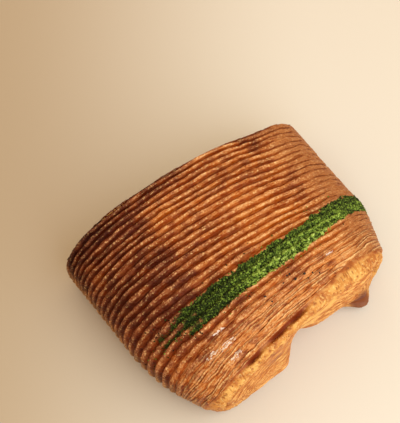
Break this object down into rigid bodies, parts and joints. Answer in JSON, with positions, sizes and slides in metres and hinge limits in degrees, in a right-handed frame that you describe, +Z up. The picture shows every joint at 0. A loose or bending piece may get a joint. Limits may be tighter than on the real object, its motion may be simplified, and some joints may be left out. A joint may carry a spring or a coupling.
{
  "type": "pain suisse",
  "caption": "Cut half of a pain suisse: a flat ridged roll of laminated dough round a green tea filling, open at the cut face.",
  "frame": {"origin": "on the flat base, under the middle of the piece's box", "axes": "+X along the ridges to the right-hand side, +Y towards the cut face, +Z up; the folded end faces -Y"},
  "size_m": [0.0936, 0.0682, 0.0378],
  "materials": {
    "baked_dough": "egg-washed laminated dough, mahogany to golden brown, satin",
    "matcha_filling": "moist dark green paste with crumbs, semi-matt"
  },
  "bodies": {
    "root": {"dough": "baked_dough", "matcha_filling": "matcha_filling"}
  },
  "joints": []
}
